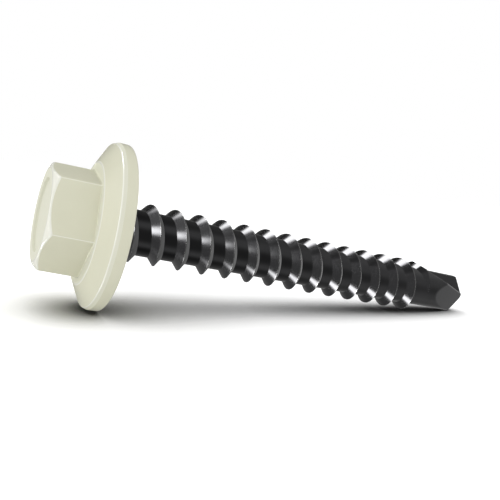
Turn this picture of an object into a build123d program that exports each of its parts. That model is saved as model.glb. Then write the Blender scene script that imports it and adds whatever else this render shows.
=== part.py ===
from build123d import *
import os
from math import asin, atan2, cos, degrees, hypot, radians, sin, tan

# Self drilling screw, 5.5 mm size, with a hexagon head forged on a wide conical flange.
# Everything is in millimetres. The screw is shaped along its own axis, Z, with the
# bearing face under the flange at Z = 0 and the drill tip at the top. It is then laid
# down on the rim of the flange and the shoulder of the drill point, tip towards +X.
# Angles around the axis are in degrees from X towards Y.

# Hexagon head
across_flats = 8.0
head_height = 5.9
hexagon_corner_angle = 89.0
hexagon_edge_radius = 0.3
hexagon_draft = 1.0
head_chamfer_angle = 32.0
dish_diameter = 6.2
dish_depth = 0.28

# Flange
flange_diameter = 14.3
rim_height = 0.9
rim_chamfer_height = 0.2
rim_chamfer_angle = 45.0
rim_corner_radius = 0.12
bevel_height = 0.36
bevel_width = 0.13
seat_diameter = 10.4
seat_height = 2.2

# Thread
thread_diameter = 5.3
core_diameter = 3.98
thread_pitch = 2.31
thread_length = 33.7
thread_run_out_angle = 60.0
thread_start_angle = -71.7
head_flank_width = 0.62
tip_flank_width = 0.53
thread_root_sink = 0.2
thread_lead_in = 0.5
run_out_sections = 6

# Drill point
length_under_head = 40.2
drill_diameter = 3.9
point_half_angle = 46.5
core_taper_start = 31.5
core_taper_end = 34.0
face_start = 34.8
face_angle = 17.3
face_direction = 146.0
flute_start = 34.3
flute_angle = 17.4
flute_direction = 55.5
flute_wall_direction = 152.0

# Which way round the screw lies
underside_angle = 225.0

# Reach of the cutting blocks, larger than the drill point
block = 12.0


def ring_vector(angle, radius=1.0):
    """Vector from the axis out to a radius, at an angle around the axis."""
    return Vector(radius * cos(radians(angle)), radius * sin(radians(angle)), 0)


def shoulder_height():
    """Height at which the drill body ends and the point's cone begins."""
    return length_under_head - drill_diameter / 2 / tan(radians(point_half_angle))


def flange():
    """Flange with a flat bearing face, softened rim, bevel, cone and raised seat."""
    rim = flange_diameter / 2
    seat = seat_diameter / 2
    outline = Polyline(
        (0, 0),
        (rim - rim_chamfer_height * tan(radians(rim_chamfer_angle)), 0),
        (rim, -rim_chamfer_height),
        (rim, -rim_height),
        (rim - bevel_width, -rim_height - bevel_height),
        (seat, -seat_height),
        (0, -seat_height),
        close=True,
    )
    section = make_face(outline)
    rim_corner = section.vertices().sort_by(Axis.X)[-2:].sort_by(Axis.Y)[-1]
    return revolve(Plane.XZ * fillet(rim_corner, rim_corner_radius), Axis.Z)


def hexagon():
    """Hexagon with rounded edges, slightly wider at its base, chamfered and dished."""
    inscribed = across_flats / 2
    overhang = across_flats
    drop = (overhang - inscribed) * tan(radians(head_chamfer_angle))
    polygon = RegularPolygon(inscribed, 6, major_radius=False, rotation=hexagon_corner_angle)
    section = fillet(polygon.vertices(), hexagon_edge_radius)
    body = extrude(Plane.XY.offset(-head_height) * section, head_height, taper=-hexagon_draft)
    turned_outline = Polyline(
        (0, 0),
        (overhang, 0),
        (overhang, drop - head_height),
        (inscribed, -head_height),
        (0, -head_height),
        close=True,
    )
    turned = revolve(Plane.XZ * make_face(turned_outline), Axis.Z)
    dish = Pos(0, 0, -head_height) * Cylinder(
        dish_diameter / 2, dish_depth, align=(Align.CENTER, Align.CENTER, Align.MIN)
    )
    return (body & turned) - dish


def core():
    """Core of the thread and body of the drill, ending in the point's cone."""
    outline = Polyline(
        (0, -seat_height / 2),
        (core_diameter / 2, -seat_height / 2),
        (core_diameter / 2, core_taper_start),
        (drill_diameter / 2, core_taper_end),
        (drill_diameter / 2, shoulder_height()),
        (0, length_under_head),
        close=True,
    )
    return revolve(Plane.XZ * make_face(outline), Axis.Z)


def sloped_block(start, angle, direction):
    """Block whose face meets the core at a height and slopes in towards the tip."""
    corner = ring_vector(direction, core_diameter / 2) + Vector(0, 0, start)
    outward = ring_vector(direction, cos(radians(angle))) + Vector(0, 0, sin(radians(angle)))
    return Plane(origin=corner, z_dir=outward) * Box(
        block, block, block, align=(Align.CENTER, Align.CENTER, Align.MIN)
    )


def wall_block(direction):
    """Block that fills one side of a wall standing on the axis."""
    return Plane(origin=(0, 0, length_under_head), z_dir=ring_vector(direction)) * Box(
        block, block, block, align=(Align.CENTER, Align.CENTER, Align.MIN)
    )


def point_faces():
    """The two opposite sloped faces of the drill point."""
    return [sloped_block(face_start, face_angle, face_direction + turn) for turn in (0, 180)]


def flute_floors():
    """The two opposite sloped floors of the flutes."""
    return [sloped_block(flute_start, flute_angle, flute_direction + turn) for turn in (0, 180)]


def flutes():
    """The two opposite flutes, each with a sloped floor and a wall on the axis."""
    walls = [wall_block(flute_wall_direction + turn) for turn in (0, 180)]
    return [floor & wall for floor, wall in zip(flute_floors(), walls)]


def ridge_section(share=1.0):
    """Section of the thread's ridge, a share of its full height, sunk into the core."""
    root = core_diameter / 2
    depth = thread_diameter / 2 - root
    rise = depth * share + thread_root_sink
    outline = Polyline(
        (root - thread_root_sink, -head_flank_width / depth * rise),
        (root - thread_root_sink + rise, 0),
        (root - thread_root_sink, tip_flank_width / depth * rise),
        close=True,
    )
    return Plane.XZ * make_face(outline)


def along_helix(angle):
    """Placement of a section that has followed the thread by an angle from its start."""
    lead_in_angle = 360 * thread_lead_in / thread_pitch
    height = thread_pitch * angle / 360 - thread_lead_in
    return Pos(0, 0, height) * Rot(0, 0, thread_start_angle - lead_in_angle + angle)


def full_turn(angle):
    """Stretch of the thread's ridge at its full height, of up to one turn."""
    path = Helix(thread_pitch, thread_pitch * angle / 360, thread_diameter / 2)
    return sweep(ridge_section(), path=path, is_frenet=True)


def run_out(start_angle):
    """End of the thread, where its ridge sinks to nothing."""
    steps = [i / run_out_sections for i in range(run_out_sections)]
    last_share = 0.5 / run_out_sections
    steps.append(1 - last_share)
    sections = [
        along_helix(start_angle + thread_run_out_angle * step) * ridge_section(1 - step)
        for step in steps
    ]
    return loft(sections, ruled=True)


def thread():
    """Right-hand thread with a sharp crest, turn by turn from inside the flange."""
    angle = 360 * (thread_length + thread_lead_in) / thread_pitch - thread_run_out_angle
    turn_count = int(angle // 360)
    whole_turn = full_turn(360)
    turns = [along_helix(360 * i) * whole_turn for i in range(turn_count)]
    turns.append(along_helix(360 * turn_count) * full_turn(angle - 360 * turn_count))
    return turns + [run_out(angle)]


def last_crest_below():
    """Height at which the thread's crest last crosses the screw's underside."""
    end_angle = thread_start_angle + 360 * thread_length / thread_pitch
    return thread_length - thread_pitch * ((end_angle - underside_angle) % 360) / 360


def rest_tilt():
    """Slope of the axis when the rim's rounded corner and the shank touch a flat surface."""
    supports = [
        (shoulder_height(), drill_diameter / 2),
        (last_crest_below(), thread_diameter / 2),
    ]
    half_corner = radians(rim_chamfer_angle / 2)
    corner_depth = rim_chamfer_height + rim_corner_radius * tan(half_corner)
    tilts = []
    for height, radius in supports:
        along = height + corner_depth
        across = flange_diameter / 2 - rim_corner_radius - radius
        tilts.append(atan2(across, along) + asin(rim_corner_radius / hypot(across, along)))
    return degrees(min(tilts))


def threaded_drill():
    """Core with its thread and the cuts that make the drill point."""
    shank = core() + thread()
    for cutter in point_faces() + flutes():
        shank = shank - cutter
    return shank


def screw():
    """The whole screw, one piece of steel, along its own axis."""
    return flange() + hexagon() + threaded_drill()


def laid_down(piece):
    """The screw lying on its side, on Z = 0, centred over the origin."""
    lying = Rot(0, 90 + rest_tilt(), 0) * Rot(0, 0, -underside_angle) * piece
    box = lying.bounding_box()
    return Pos(-box.center().X, -box.center().Y, -box.min.Z) * lying


os.makedirs("parts", exist_ok=True)
export_step(laid_down(screw()), "parts/screw.step")
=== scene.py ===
from math import asin, atan, atan2, cos, hypot, pi, radians, sin, sqrt, tan

import bmesh
import bpy
import numpy as np
from mathutils import Matrix, Vector


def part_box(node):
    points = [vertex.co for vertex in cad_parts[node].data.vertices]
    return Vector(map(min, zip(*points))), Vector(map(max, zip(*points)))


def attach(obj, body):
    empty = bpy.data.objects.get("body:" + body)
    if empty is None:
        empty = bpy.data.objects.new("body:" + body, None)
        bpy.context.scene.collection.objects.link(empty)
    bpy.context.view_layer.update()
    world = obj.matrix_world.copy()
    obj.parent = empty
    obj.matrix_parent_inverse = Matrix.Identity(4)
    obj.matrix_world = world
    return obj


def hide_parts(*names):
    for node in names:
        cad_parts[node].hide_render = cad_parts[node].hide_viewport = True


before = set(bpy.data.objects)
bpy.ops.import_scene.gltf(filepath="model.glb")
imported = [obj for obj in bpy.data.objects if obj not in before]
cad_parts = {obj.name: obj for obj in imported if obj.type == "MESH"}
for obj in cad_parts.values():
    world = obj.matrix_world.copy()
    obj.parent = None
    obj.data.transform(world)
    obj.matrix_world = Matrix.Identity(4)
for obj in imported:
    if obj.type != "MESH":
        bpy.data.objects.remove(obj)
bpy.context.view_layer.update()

# All sizes are in millimetres unless a name says otherwise. The screw is shaped along
# its own axis, Z, with the bearing face at Z = 0 and the drill tip at the top, and is
# then laid down in the frame. Angles around the axis run from X towards Y, in degrees.
MM = 0.001

# Points of a mesh that are as near as this are one, and edges as short as this are none
MERGE_DISTANCE = 1e-4
SHORTEST_EDGE = 1e-5

# Hexagon head
ACROSS_FLATS = 8.0
HEAD_HEIGHT = 5.9
HEXAGON_CORNER_ANGLE = 89.0
HEXAGON_EDGE_RADIUS = 0.34
HEXAGON_DRAFT = 1.0
HEAD_CHAMFER_ANGLE = 32.0
DISH_DIAMETER = 6.2
DISH_DEPTH = 0.28
DISH_WALL_WIDTH = 0.07

# Flange
FLANGE_DIAMETER = 14.3
RIM_HEIGHT = 0.9
RIM_CHAMFER_HEIGHT = 0.2
RIM_CHAMFER_ANGLE = 45.0
RIM_CORNER_RADIUS = 0.12
BEVEL_HEIGHT = 0.36
BEVEL_WIDTH = 0.13
SEAT_DIAMETER = 10.4
SEAT_HEIGHT = 2.2

# The head's paint: glossy, paler along an edge as a painted highlight, and matt where the forging
# die left the steel under it rough, with a paler tone there as painted light
GLOSSY, HIGHLIGHT, MATT_LIT = range(3)

# Rounding of the head's edges under its paint: first and last corner of the outline that
# it takes in, half its width, how many steps cross it, and the paint before it and on it
HEAD_ROUNDINGS = [
    (1, 2, 0.045, 10, MATT_LIT, MATT_LIT),
    (3, 4, 0.16, 16, MATT_LIT, HIGHLIGHT),
    (5, 5, 0.10, 8, GLOSSY, GLOSSY),
    (6, 6, 0.09, 8, MATT_LIT, HIGHLIGHT),
    (7, 7, 0.06, 8, GLOSSY, HIGHLIGHT),
    (8, 8, 0.05, 8, MATT_LIT, GLOSSY),
    (9, 9, 0.28, 10, GLOSSY, GLOSSY),
]

# Thread, the rows in each of its turns, the sides of its ridge that are crest, and the slots
# of its two steels
THREAD_DIAMETER = 5.3
CORE_DIAMETER = 3.98
THREAD_PITCH = 2.31
THREAD_LENGTH = 33.7
THREAD_START_ANGLE = -71.7
HEAD_FLANK_WIDTH = 0.62
TIP_FLANK_WIDTH = 0.53
CREST_WIDTH = 0.05
CREST_BEVEL = 0.02
THREAD_ROOT_SINK = 0.15
THREAD_LEAD_IN = 0.5
THREAD_RUN_OUT = 75.0
THREAD_STEPS = 120
CREST_SIDES = (1, 2, 3)
FLANK, CREST = range(2)

# Drill point
LENGTH_UNDER_HEAD = 40.2
DRILL_DIAMETER = 3.9
POINT_HALF_ANGLE = 46.5
CORE_TAPER_START = 31.5
CORE_TAPER_END = 34.0
FACE_START = 34.8
FACE_ANGLE = 17.3
FACE_DIRECTION = 146.0
FLUTE_START = 34.3
FLUTE_ANGLE = 17.4
FLUTE_DIRECTION = 55.5
FLUTE_WALL_DIRECTION = 152.0
EDGE_WEAR = 0.05
RIDGE_ROUNDING = 0.3

# Mesh of the shank: where it starts inside the head, how far before the drill point its rows
# get close, how many rows there are before and after that, and points in half a row
SHANK_START = -2.0
DRILL_LEAD_IN = 0.2
PLAIN_ROWS = 46
DRILL_ROWS = 130
HALF_ROW = 121

# The thread is cut this much below the slopes of the drill point, so that they don't coincide
THREAD_CUT_SINK = 0.004

# Angles, in degrees, over which an edge of the head or of the steel is shown sharp
HEAD_SHARP_ANGLE = 60
STEEL_SHARP_ANGLE = 30

# Which way round the screw lies
UNDERSIDE_ANGLE = 225.0

# Camera: where it stands, the way it looks, its lens, its sensor, and how near and far it sees
CAMERA_POSITION = (-29.60, -54.64, 12.18)
CAMERA_HEADING = 25.5
CAMERA_DROP = 6.12
CAMERA_ROLL = 5.5
CAMERA_LENS = 46.6
CAMERA_SENSOR = 36
CAMERA_NEAREST = 1.0
CAMERA_FARTHEST = 10_000.0

# Floor: its size, its colour for the light that it throws back, how far the screw darkens its
# colour with a painted shadow and how many rays find that, how open it is where that painted
# shadow is deepest and where it ends, and how bright it shows there
FLOOR_SIZE = 4000.0
FLOOR_COLOUR = (0.95, 0.95, 0.95, 1)
SHADOW_REACH = 14.0
SHADOW_SAMPLES = 16
SHADOW_DEEPEST = 0.27
SHADOW_ENDS = 0.85
SHADOW_SHOWN = 0.05
FLOOR_SHOWN = 1.35

# Light on the object: the level of the white surroundings, and of the lamp from the left
AMBIENT_LEVEL = 0.93
LAMP_LEVEL = 0.14

# Softboxes and dark flags around the screw, which only its reflections show: compass heading,
# angle over the floor, half width of the full part and of the whole, and brightness, where
# the white background is 1
SOFTBOXES = [
    (-80, 40, 10, 42, 2.0),
    (175, -5, 20, 48, 0.32),
    (90, 90, 22, 42, 0.28),
    (90, -90, 8, 35, 0.15),
    (25, -45, 10, 55, 0.32),
    (10, 25, 8, 72, 0.14),
    (-112, 47, 4, 16, 0.55),
    (-98.5, 11, 3, 14, 36.0),
    (-36, 62, 7, 18, 32.0),
    (-86, -50, 6, 12, 36.0),
]


def lying_matrix():
    """From the screw's own frame in millimetres to the row frame in metres."""
    shoulder = LENGTH_UNDER_HEAD - DRILL_DIAMETER / 2 / tan(radians(POINT_HALF_ANGLE))
    corner_depth = RIM_CHAMFER_HEIGHT + RIM_CORNER_RADIUS * tan(radians(RIM_CHAMFER_ANGLE / 2))
    corner_reach = FLANGE_DIAMETER / 2 - RIM_CORNER_RADIUS
    across = corner_reach - DRILL_DIAMETER / 2
    along = shoulder + corner_depth
    tilt = atan2(across, along) + asin(RIM_CORNER_RADIUS / hypot(across, along))
    lowest, highest = (Vector(corner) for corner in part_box("screw"))
    turned = Matrix.Rotation(pi / 2 + tilt, 4, "Y")
    turned = turned @ Matrix.Rotation(radians(-UNDERSIDE_ANGLE), 4, "Z")
    tip_x = LENGTH_UNDER_HEAD * cos(tilt) * MM
    rim_z = -(corner_reach * cos(tilt) - corner_depth * sin(tilt) + RIM_CORNER_RADIUS) * MM
    shift = Matrix.Translation((highest.x - tip_x, 0, lowest.z - rim_z))
    return shift @ turned @ Matrix.Scale(MM, 4)


def add_piece(name, bm, materials, sharp_angle):
    """A closed mesh in the screw's own frame becomes a piece of the object."""
    bmesh.ops.remove_doubles(bm, verts=bm.verts, dist=MERGE_DISTANCE)
    bmesh.ops.dissolve_degenerate(bm, edges=bm.edges, dist=SHORTEST_EDGE)
    bmesh.ops.recalc_face_normals(bm, faces=bm.faces)
    bmesh.ops.transform(bm, matrix=lying_matrix(), verts=bm.verts)
    for face in bm.faces:
        face.smooth = True
    for edge in bm.edges:
        closed = len(edge.link_faces) == 2
        edge.smooth = closed and edge.calc_face_angle(0) < radians(sharp_angle)
    mesh = bpy.data.meshes.new(name)
    bm.to_mesh(mesh)
    bm.free()
    piece = bpy.data.objects.new(name, mesh)
    bpy.context.scene.collection.objects.link(piece)
    for material in materials:
        mesh.materials.append(material)
    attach(piece, "root")
    return piece


def grid_mesh(rows):
    """A bmesh of quads over rows of points, each of them closed into a ring."""
    bm = bmesh.new()
    grid = [[bm.verts.new(point) for point in row] for row in rows]
    columns = len(rows[0])
    for lower, upper in zip(grid, grid[1:]):
        for i in range(columns):
            j = (i + 1) % columns
            bm.faces.new((lower[i], lower[j], upper[j], upper[i]))
    return bm


def hexagon_columns(flat_steps=22, corner_steps=12):
    """Directions around a hexagon with rounded edges.

    Gives their angles, its radius there over its inscribed one, and whether each is on the
    ridge of an edge.
    """
    inscribed = ACROSS_FLATS / 2
    half_side = radians(30)
    corner_centre = (inscribed - HEXAGON_EDGE_RADIUS) / cos(half_side)
    half_flat = corner_centre * sin(half_side)
    angles = []
    factors = []
    ridges = []
    for side in range(6):
        corner = radians(HEXAGON_CORNER_ANGLE + 60 * side)
        for i in range(corner_steps):
            turn = radians(-30 + 60 * i / corner_steps)
            x = corner_centre + HEXAGON_EDGE_RADIUS * cos(turn)
            y = HEXAGON_EDGE_RADIUS * sin(turn)
            angles.append(corner + atan2(y, x))
            factors.append(sqrt(x * x + y * y) / inscribed)
            ridges.append(abs(i + 0.5 - corner_steps / 2) < 1)
        for i in range(flat_steps):
            along = half_flat * (2 * i / flat_steps - 1)
            angles.append(corner + half_side + atan(along / inscribed))
            factors.append(sqrt(along * along + inscribed * inscribed) / inscribed)
            ridges.append(False)
    return angles, factors, ridges


def head_profile(factor):
    """Corners of the head's outline, radius and height, in one direction around it."""
    inscribed = ACROSS_FLATS / 2
    rim = FLANGE_DIAMETER / 2
    top = -HEAD_HEIGHT
    hexagon = factor * inscribed
    base = hexagon + (HEAD_HEIGHT - SEAT_HEIGHT) * tan(radians(HEXAGON_DRAFT))
    return np.array([
        (0, top + DISH_DEPTH),
        (DISH_DIAMETER / 2 - DISH_WALL_WIDTH, top + DISH_DEPTH),
        (DISH_DIAMETER / 2, top),
        (inscribed, top),
        (hexagon, top + (hexagon - inscribed) * tan(radians(HEAD_CHAMFER_ANGLE))),
        (base, -SEAT_HEIGHT),
        (SEAT_DIAMETER / 2, -SEAT_HEIGHT),
        (rim - BEVEL_WIDTH, -RIM_HEIGHT - BEVEL_HEIGHT),
        (rim, -RIM_HEIGHT),
        (rim, 0),
        (0, 0),
    ])


def rounded_outline(corners, plain_steps=5, samples=33):
    """Points along an outline, rounded as HEAD_ROUNDINGS says, and the paint after each."""
    steps = np.hypot(*np.diff(corners, axis=0).T)
    reach = np.concatenate(([0], np.cumsum(steps)))
    stations = []
    widths = []
    paints = []
    last = 0.0
    for rounding in HEAD_ROUNDINGS:
        first_corner, last_corner, half_width, count, paint_before, paint_on = rounding
        start = reach[first_corner] - half_width
        end = reach[last_corner] + half_width
        plain = np.linspace(last, start, plain_steps, endpoint=False)
        stations.extend(plain)
        widths.extend([0.0] * len(plain))
        stations.extend(np.linspace(start, end, count, endpoint=False))
        widths.extend([half_width] * count)
        paints.extend([paint_before] * len(plain) + [paint_on] * count)
        last = end
    plain = np.linspace(last, reach[-1], plain_steps)
    stations.extend(plain)
    widths.extend([0.0] * len(plain))
    paints.extend([GLOSSY] * len(plain))
    spread = np.array(widths)[:, None] * np.linspace(-1, 1, samples)
    places = np.clip(np.array(stations)[:, None] + spread, 0, reach[-1])
    radius = np.interp(places, reach, corners[:, 0]).mean(axis=1)
    height = np.interp(places, reach, corners[:, 1]).mean(axis=1)
    return radius, height, paints


def edge_span(paints):
    """Rows of the outline on the hexagon's sides, from its top's rounding to its base."""
    first = paints.index(HIGHLIGHT)
    while paints[first] == HIGHLIGHT:
        first += 1
    last = first
    while paints[last] == GLOSSY:
        last += 1
    return range(first, last)


def painted_head(materials):
    """Hexagon, dish and flange as one closed skin with softly rounded edges."""
    angles, factors, ridges = hexagon_columns()
    outlines = [rounded_outline(head_profile(factor)) for factor in factors]
    paints = outlines[0][2]
    rows = []
    for step in range(len(paints)):
        row = []
        for angle, (radius, height, _) in zip(angles, outlines):
            row.append((radius[step] * cos(angle), radius[step] * sin(angle), height[step]))
        rows.append(row)
    bm = grid_mesh(rows)
    edge_rows = edge_span(paints)
    for i, face in enumerate(bm.faces):
        row, column = divmod(i, len(angles))
        # Painted highlight: the hexagon's rounded edges take the paler paint
        on_highlit_edge = ridges[column] and row in edge_rows
        face.material_index = HIGHLIGHT if on_highlit_edge else paints[row]
    return add_piece("painted_head", bm, materials, HEAD_SHARP_ANGLE)


def soft_minimum(a, b, rounding):
    """The lower of two radii, rounded where they cross."""
    overlap = np.maximum(rounding - np.abs(a - b), 0) / rounding
    return np.minimum(a, b) - overlap * overlap * rounding / 4


def plane_radius(angles, direction, depth, least_facing=0.02, far_away=1e3):
    """Distance from the axis to a plane that stands across one direction."""
    facing = np.cos(np.radians(angles - direction))
    return np.where(facing > least_facing, depth / np.maximum(facing, least_facing), far_away)


def shank_radius(angles, height, flute_side):
    """Radius of the core and drill point at a height, for a row of angles."""
    taper = [CORE_TAPER_START, CORE_TAPER_END]
    core = np.interp(height, taper, [CORE_DIAMETER / 2, DRILL_DIAMETER / 2])
    cone = (LENGTH_UNDER_HEAD - height) * tan(radians(POINT_HALF_ANGLE))
    radius = np.full(len(angles), min(core, max(cone, 0.0)))
    face_depth = CORE_DIAMETER / 2 - (height - FACE_START) * tan(radians(FACE_ANGLE))
    floor_depth = CORE_DIAMETER / 2 - (height - FLUTE_START) * tan(radians(FLUTE_ANGLE))
    faces = np.minimum(
        plane_radius(angles, FACE_DIRECTION, face_depth),
        plane_radius(angles, FACE_DIRECTION + 180, face_depth),
    )
    floor = plane_radius(angles, FLUTE_DIRECTION + 180 * flute_side, floor_depth)
    hollow = soft_minimum(faces, floor, RIDGE_ROUNDING)
    return soft_minimum(radius, hollow, EDGE_WEAR)


def shank(material):
    """Core of the thread and the drill point, with a wall beside each flute."""
    wall = FLUTE_WALL_DIRECTION - 90
    sides = [np.linspace(wall + 180 * side, wall + 180 * (side + 1), HALF_ROW) for side in (0, 1)]
    cut_start = FLUTE_START - DRILL_LEAD_IN
    plain = np.linspace(SHANK_START, cut_start, PLAIN_ROWS)
    cut = np.linspace(cut_start, LENGTH_UNDER_HEAD, DRILL_ROWS)[1:]
    rows = []
    for height in np.concatenate((plain, cut)):
        row = []
        for side, angles in enumerate(sides):
            radii = np.maximum(shank_radius(angles, height, side), 0)
            turns = np.radians(angles)
            x = radii * np.cos(turns)
            y = radii * np.sin(turns)
            row.extend(zip(x, y, [height] * len(angles)))
        rows.append(row)
    rows.insert(0, [(0, 0, rows[0][0][2])] * len(rows[0]))
    return add_piece("threaded_shank", grid_mesh(rows), [material], STEEL_SHARP_ANGLE)


def ridge_section(size):
    """Section of the thread's ridge, as radius and height, for a share of its full size."""
    depth = (THREAD_DIAMETER - CORE_DIAMETER) / 2
    crest = CORE_DIAMETER / 2 + depth * size
    root = CORE_DIAMETER / 2 - THREAD_ROOT_SINK
    head_slope = HEAD_FLANK_WIDTH / depth
    tip_slope = TIP_FLANK_WIDTH / depth
    half_crest = CREST_WIDTH / 2
    return [
        (root, -head_slope * (crest - root)),
        (crest - CREST_BEVEL, -half_crest - CREST_BEVEL),
        (crest, -half_crest),
        (crest, half_crest),
        (crest - CREST_BEVEL, half_crest + CREST_BEVEL),
        (root, tip_slope * (crest - root)),
    ]


def thread(materials):
    """The thread's ridge, cut where the drill point begins and run out at its end."""
    height = THREAD_LENGTH + THREAD_LEAD_IN
    turn = 360 * height / THREAD_PITCH
    start = THREAD_START_ANGLE - 360 * THREAD_LEAD_IN / THREAD_PITCH
    count = int(turn / 360 * THREAD_STEPS) + 1
    rows = []
    for along in np.linspace(0, turn, count):
        size = min(1.0, (turn - along) / THREAD_RUN_OUT)
        angle = radians(start + along)
        lift = along / 360 * THREAD_PITCH - THREAD_LEAD_IN
        section = ridge_section(size)
        rows.append([(r * cos(angle), r * sin(angle), lift + h) for r, h in section])
    bm = grid_mesh(rows)
    full_rows = int((turn - THREAD_RUN_OUT) / 360 * THREAD_STEPS)
    for i, face in enumerate(bm.faces):
        row, side = divmod(i, len(rows[0]))
        face.material_index = CREST if side in CREST_SIDES and row < full_rows else FLANK
    for half_turn in (0, 180):
        cut_slope(bm, FACE_DIRECTION + half_turn, FACE_ANGLE, FACE_START)
        cut_slope(bm, FLUTE_DIRECTION + half_turn, FLUTE_ANGLE, FLUTE_START)
    open_edges = [edge for edge in bm.edges if edge.is_boundary]
    bmesh.ops.holes_fill(bm, edges=open_edges, sides=0)
    return add_piece("thread_ridge", bm, materials, STEEL_SHARP_ANGLE)


def cut_slope(bm, direction, angle, start):
    """Cuts away what lies outside a slope of the drill point."""
    around = radians(direction)
    slope = radians(angle)
    corner = Vector((cos(around), sin(around), 0)) * (CORE_DIAMETER / 2 - THREAD_CUT_SINK)
    corner.z = start
    outward = Vector((cos(around) * cos(slope), sin(around) * cos(slope), sin(slope)))
    everything = bm.verts[:] + bm.edges[:] + bm.faces[:]
    bmesh.ops.bisect_plane(
        bm, geom=everything, plane_co=corner, plane_no=outward, clear_outer=True
    )


def new_material(name):
    """A node material with its shader, and a mapping in millimetres on the object."""
    material = bpy.data.materials.new(name)
    material.use_nodes = True
    nodes = material.node_tree.nodes
    shader = nodes["Principled BSDF"]
    place = nodes.new("ShaderNodeTexCoord")
    scale = nodes.new("ShaderNodeMapping")
    scale.inputs["Scale"].default_value = (1 / MM, 1 / MM, 1 / MM)
    material.node_tree.links.new(place.outputs["Object"], scale.inputs["Vector"])
    return material, shader, scale.outputs["Vector"]


def add_noise(material, place, size, detail):
    """Noise whose features are about the given size in millimetres."""
    noise = material.node_tree.nodes.new("ShaderNodeTexNoise")
    noise.inputs["Scale"].default_value = 1 / size
    noise.inputs["Detail"].default_value = detail
    material.node_tree.links.new(place, noise.inputs["Vector"])
    return noise.outputs["Fac"]


def add_range(material, value, low, high):
    """A value from 0 to 1 spread over another range."""
    spread = material.node_tree.nodes.new("ShaderNodeMapRange")
    spread.inputs["To Min"].default_value = low
    spread.inputs["To Max"].default_value = high
    material.node_tree.links.new(value, spread.inputs["Value"])
    return spread.outputs["Result"]


def add_colours(material, value, dark, light):
    """A colour between two, chosen by a value."""
    mix = material.node_tree.nodes.new("ShaderNodeMix")
    mix.data_type = "RGBA"
    mix.inputs["A"].default_value = (*dark, 1)
    mix.inputs["B"].default_value = (*light, 1)
    material.node_tree.links.new(value, mix.inputs["Factor"])
    return mix.outputs["Result"]


def add_bump(material, shader, value, height, strength):
    """Relief of a height in millimetres, driven by a value."""
    bump = material.node_tree.nodes.new("ShaderNodeBump")
    bump.inputs["Distance"].default_value = height * MM
    bump.inputs["Strength"].default_value = strength
    material.node_tree.links.new(value, bump.inputs["Height"])
    material.node_tree.links.new(bump.outputs["Normal"], shader.inputs["Normal"])


def cream_paint(name, dark, light, gloss, roughness=(0.18, 0.28)):
    """Thick cream powder coat: smooth, faintly uneven in tone and surface."""
    material, shader, place = new_material(name)
    links = material.node_tree.links
    clouds = add_noise(material, place, size=2.5, detail=2)
    peel = add_noise(material, place, size=0.35, detail=3)
    links.new(add_colours(material, clouds, dark, light), shader.inputs["Base Color"])
    links.new(add_range(material, peel, *roughness), shader.inputs["Roughness"])
    shader.inputs["Specular IOR Level"].default_value = gloss
    add_bump(material, shader, peel, height=0.012, strength=0.25)
    return material


def dark_steel(name, dark, light, roughness):
    """Hardened steel under a dark oxide: a near black mirror, cloudy and finely grained."""
    material, shader, place = new_material(name)
    links = material.node_tree.links
    clouds = add_noise(material, place, size=1.2, detail=4)
    grain = add_noise(material, place, size=0.12, detail=3)
    links.new(add_colours(material, clouds, dark, light), shader.inputs["Base Color"])
    links.new(add_range(material, grain, *roughness), shader.inputs["Roughness"])
    shader.inputs["Metallic"].default_value = 1.0
    add_bump(material, shader, grain, height=0.004, strength=0.2)
    return material


def shown_to_camera(tree):
    """1 for camera, glossy and transmission rays, and 0 for the rest."""
    path = tree.nodes.new("ShaderNodeLightPath")
    total = path.outputs["Is Camera Ray"]
    for name in ("Is Glossy Ray", "Is Transmission Ray"):
        larger = tree.nodes.new("ShaderNodeMath")
        larger.operation = "MAXIMUM"
        tree.links.new(total, larger.inputs[0])
        tree.links.new(path.outputs[name], larger.inputs[1])
        total = larger.outputs[0]
    return total


def white_floor():
    """Floor that shows white where it is lit, keeps the screw's shadow, and darkens its colour
    near the screw as a painted shadow.
    """
    material = bpy.data.materials.new("white_floor")
    material.use_nodes = True
    tree = material.node_tree
    tree.nodes.remove(tree.nodes["Principled BSDF"])
    shader = tree.nodes.new("ShaderNodeBsdfDiffuse")
    tree.links.new(shader.outputs["BSDF"], tree.nodes["Material Output"].inputs["Surface"])
    # Painted shadow: the floor's colour darkens the nearer it is to the screw
    painted_shadow_nearness = tree.nodes.new("ShaderNodeAmbientOcclusion")
    painted_shadow_nearness.samples = SHADOW_SAMPLES
    painted_shadow_nearness.inputs["Distance"].default_value = SHADOW_REACH * MM
    shade = tree.nodes.new("ShaderNodeMapRange")
    shade.inputs["From Min"].default_value = SHADOW_DEEPEST
    shade.inputs["From Max"].default_value = SHADOW_ENDS
    shade.inputs["To Min"].default_value = SHADOW_SHOWN
    shade.inputs["To Max"].default_value = FLOOR_SHOWN
    tree.links.new(painted_shadow_nearness.outputs["AO"], shade.inputs["Value"])
    mix = tree.nodes.new("ShaderNodeMix")
    mix.data_type = "RGBA"
    mix.inputs["A"].default_value = FLOOR_COLOUR
    tree.links.new(shade.outputs["Result"], mix.inputs["B"])
    tree.links.new(shown_to_camera(tree), mix.inputs["Factor"])
    tree.links.new(mix.outputs["Result"], shader.inputs["Color"])
    return material


def add_floor():
    """Plain floor under the screw, which the steel doesn't reflect."""
    half = FLOOR_SIZE * MM / 2
    mesh = bpy.data.meshes.new("floor")
    corners = [(-half, -half, 0), (half, -half, 0), (half, half, 0), (-half, half, 0)]
    mesh.from_pydata(corners, [], [(0, 1, 2, 3)])
    mesh.materials.append(white_floor())
    floor = bpy.data.objects.new("floor", mesh)
    bpy.context.scene.collection.objects.link(floor)
    floor.visible_glossy = False


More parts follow.
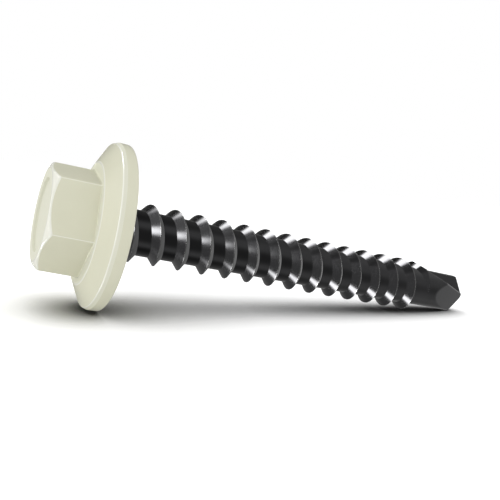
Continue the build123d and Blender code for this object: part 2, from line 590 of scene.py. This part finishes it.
def add_mix(tree, factor, low, high):
    """A value between two, each of them a number or another node's output."""
    mix = tree.nodes.new("ShaderNodeMix")
    tree.links.new(factor, mix.inputs["Factor"])
    for name, value in (("A", low), ("B", high)):
        if isinstance(value, (int, float)):
            mix.inputs[name].default_value = value
        else:
            tree.links.new(value, mix.inputs[name])
    return mix.outputs["Result"]


def compass_direction(heading, height_angle):
    """Unit vector towards a compass heading, from Y towards X, and an angle over the floor."""
    around = radians(heading)
    up = radians(height_angle)
    return Vector((sin(around) * cos(up), cos(around) * cos(up), sin(up)))


def add_world(ambient):
    """White surroundings, in which the screw's reflections also show the softboxes."""
    world = bpy.data.worlds.new("studio")
    world.use_nodes = True
    tree = world.node_tree
    background = tree.nodes["Background"]
    background.inputs["Color"].default_value = (1, 1, 1, 1)
    place = tree.nodes.new("ShaderNodeTexCoord").outputs["Generated"]
    white = 1.0
    reflected = white
    for heading, height_angle, full_angle, edge_angle, brightness in SOFTBOXES:
        facing = tree.nodes.new("ShaderNodeVectorMath")
        facing.operation = "DOT_PRODUCT"
        facing.inputs[1].default_value = compass_direction(heading, height_angle)
        tree.links.new(place, facing.inputs[0])
        share = tree.nodes.new("ShaderNodeMapRange")
        share.interpolation_type = "SMOOTHSTEP"
        share.inputs["From Min"].default_value = cos(radians(edge_angle))
        share.inputs["From Max"].default_value = cos(radians(full_angle))
        tree.links.new(facing.outputs["Value"], share.inputs["Value"])
        reflected = add_mix(tree, share.outputs["Result"], reflected, brightness)
    path = tree.nodes.new("ShaderNodeLightPath")
    shown = add_mix(tree, path.outputs["Is Camera Ray"], reflected, white)
    level = add_mix(tree, shown_to_camera(tree), ambient, shown)
    tree.links.new(level, background.inputs["Strength"])
    bpy.context.scene.world = world


def add_lamp(name, heading, height_angle, width_angle, level):
    """A distant round lamp; level is the share of white that it lights a facing surface to."""
    lamp = bpy.data.lights.new(name, "SUN")
    lamp.angle = radians(width_angle)
    lamp.energy = level * pi
    holder = bpy.data.objects.new(name, lamp)
    towards = compass_direction(heading, height_angle)
    holder.rotation_euler = towards.to_track_quat("Z", "Y").to_euler()
    holder.visible_glossy = False
    bpy.context.scene.collection.objects.link(holder)


def add_camera():
    """Camera where the photograph was taken from."""
    heading = radians(CAMERA_HEADING)
    drop = radians(CAMERA_DROP)
    roll = radians(CAMERA_ROLL)
    forward = Vector((sin(heading) * cos(drop), cos(heading) * cos(drop), -sin(drop)))
    level_right = Vector((cos(heading), -sin(heading), 0))
    level_up = level_right.cross(forward)
    right = level_right * cos(roll) + level_up * sin(roll)
    up = level_up * cos(roll) - level_right * sin(roll)
    data = bpy.data.cameras.new("camera")
    data.lens = CAMERA_LENS
    data.sensor_width = CAMERA_SENSOR
    data.clip_start = CAMERA_NEAREST * MM
    data.clip_end = CAMERA_FARTHEST * MM
    camera = bpy.data.objects.new("camera", data)
    place = Matrix.Translation(Vector(CAMERA_POSITION) * MM)
    camera.matrix_world = place @ Matrix((right, up, -forward)).transposed().to_4x4()
    bpy.context.scene.collection.objects.link(camera)
    bpy.context.scene.camera = camera


glossy_paint = cream_paint("glossy_paint", (0.70, 0.694, 0.545), (0.74, 0.735, 0.585), 0.22)
# Paler cream as a painted highlight along the head's edges
highlight_paint = cream_paint("highlight_paint", (0.84, 0.84, 0.75), (0.88, 0.88, 0.79), 0.22)
# Matt cream, painted paler as light on the dish, the hexagon's top, the seat and the bevel
matt_lit_paint = cream_paint("matt_lit_paint", (0.73, 0.73, 0.61), (0.77, 0.77, 0.65), 0.0)
oxide = (0.028, 0.028, 0.029), (0.036, 0.036, 0.037), (0.14, 0.22)
core_steel = dark_steel("core_steel", *oxide)
flank_steel = dark_steel("flank_steel", *oxide)
crest_steel = dark_steel("crest_steel", (0.08, 0.08, 0.08), (0.12, 0.12, 0.12), (0.20, 0.30))
head = painted_head([glossy_paint, highlight_paint, matt_lit_paint])
core = shank(core_steel)
ridge = thread([flank_steel, crest_steel])
# The steel in the photo reflects only the softboxes around it, and no part of the screw itself
for piece in (head, core, ridge):
    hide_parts("screw")
    piece.visible_glossy = False

add_floor()
add_world(AMBIENT_LEVEL)
add_lamp("left", heading=-95, height_angle=8, width_angle=60, level=LAMP_LEVEL)
add_camera()
bpy.context.scene.view_settings.view_transform = "Standard"
